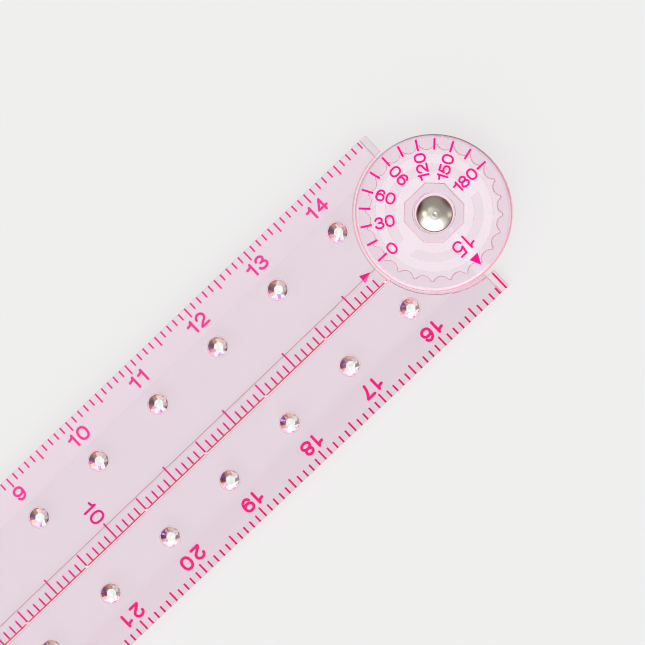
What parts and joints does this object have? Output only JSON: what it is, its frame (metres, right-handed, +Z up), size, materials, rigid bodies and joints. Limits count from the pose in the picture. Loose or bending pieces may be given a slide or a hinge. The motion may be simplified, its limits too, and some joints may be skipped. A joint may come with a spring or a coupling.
{
  "type": "folding ruler",
  "caption": "Folding ruler with clear half-lapped graduated arms that swing on a riveted click hub with a degree disc, and faceted stones along each arm.",
  "frame": {"origin": "centre of the folded ruler's underside; the hinge axis stands at x = 72.775 mm, y = 0", "axes": "+X along the arms towards the hub, +Y towards the edge of the first arm, +Z up out of the table, through the hub"},
  "size_m": [0.1644, 0.025, 0.0042],
  "materials": {
    "clear_pink": "polished clear acrylic, pink tint",
    "rivet_metal": "polished nickel plate",
    "stone": "faceted, foiled back"
  },
  "bodies": {
    "first_arm": {"arm_a": "clear_pink", "click_plate": "clear_pink", "rivet": "rivet_metal", "stone_a_01": "stone", "stone_a_02": "stone", "stone_a_03": "stone", "stone_a_04": "stone", "stone_a_05": "stone", "stone_a_06": "stone", "stone_a_07": "stone", "stone_a_08": "stone", "stone_a_09": "stone", "stone_a_10": "stone", "stone_a_11": "stone", "stone_a_12": "stone", "stone_a_13": "stone", "stone_a_14": "stone"},
    "second_arm": {"arm_b": "clear_pink", "stone_b_01": "stone", "stone_b_02": "stone", "stone_b_03": "stone", "stone_b_04": "stone", "stone_b_05": "stone", "stone_b_06": "stone", "stone_b_07": "stone", "stone_b_08": "stone", "stone_b_09": "stone", "stone_b_10": "stone", "stone_b_11": "stone", "stone_b_12": "stone", "stone_b_13": "stone", "stone_b_14": "stone"}
  },
  "joints": [
    {"name": "arm_fold", "type": "hinge", "parent": "first_arm", "child": "second_arm", "pos_m": [0.07278, 0, 0], "axis": [0, 0, 1], "range_deg": [0, 180]}
  ]
}
